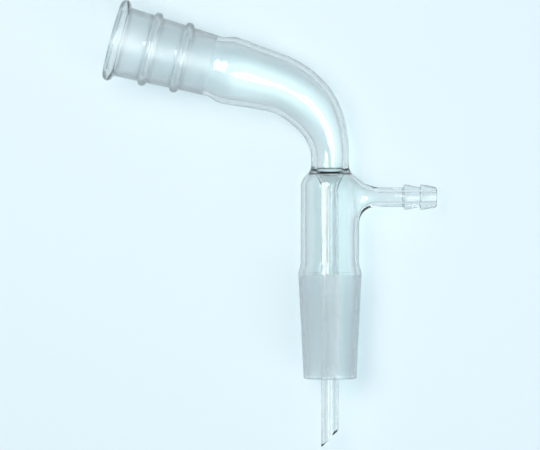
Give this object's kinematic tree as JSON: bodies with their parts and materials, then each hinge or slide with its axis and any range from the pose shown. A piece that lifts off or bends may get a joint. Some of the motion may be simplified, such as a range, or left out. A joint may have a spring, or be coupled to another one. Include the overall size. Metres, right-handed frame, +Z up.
{
  "type": "vacuum take off adapter",
  "caption": "Clear glass take-off adapter: a ground socket on an angled elbow, and an inner drip tube in a jacket with a side hose nozzle and a ground cone.",
  "frame": {"origin": "centre of the bounding box's footprint, on the level surface that the glass lies on", "axes": "+Y runs along the body from the drip tip to the elbow, +X points the way the hose nozzle does, +Z is up"},
  "size_m": [0.1268, 0.1697, 0.0315],
  "materials": {
    "borosilicate_glass": "clear, flame polished, with ground joint faces"
  },
  "bodies": {
    "root": {"glass_adapter": "borosilicate_glass"}
  },
  "joints": []
}
